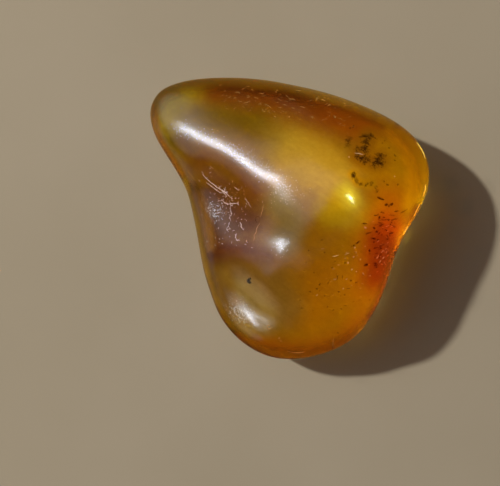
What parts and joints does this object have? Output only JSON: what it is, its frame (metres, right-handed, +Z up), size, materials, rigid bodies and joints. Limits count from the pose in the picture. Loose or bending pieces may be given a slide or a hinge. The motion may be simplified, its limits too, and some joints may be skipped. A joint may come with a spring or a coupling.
{
  "type": "polished amber pebble with inclusions",
  "caption": "Clear golden-brown polished amber pebble with a narrow nose, a hollow side and a round end, holding dark debris, fine cracks and a red-orange stain.",
  "frame": {"origin": "under the middle of the outline, on the surface that the pebble rests on", "axes": "+Z up through the thinnest way; +X towards the wide round end; +Y towards the long straight edge; the nose points to -X +Y"},
  "size_m": [0.0168, 0.017, 0.0082],
  "materials": {
    "amber": "hand-polished, faintly matt from fine scratches",
    "debris": "dark plant or insect debris sealed in the amber",
    "crack": "bright internal cracks and stress flecks",
    "stain": "red-orange stain with short needles"
  },
  "bodies": {
    "root": {"amber": "amber"}
  },
  "joints": []
}
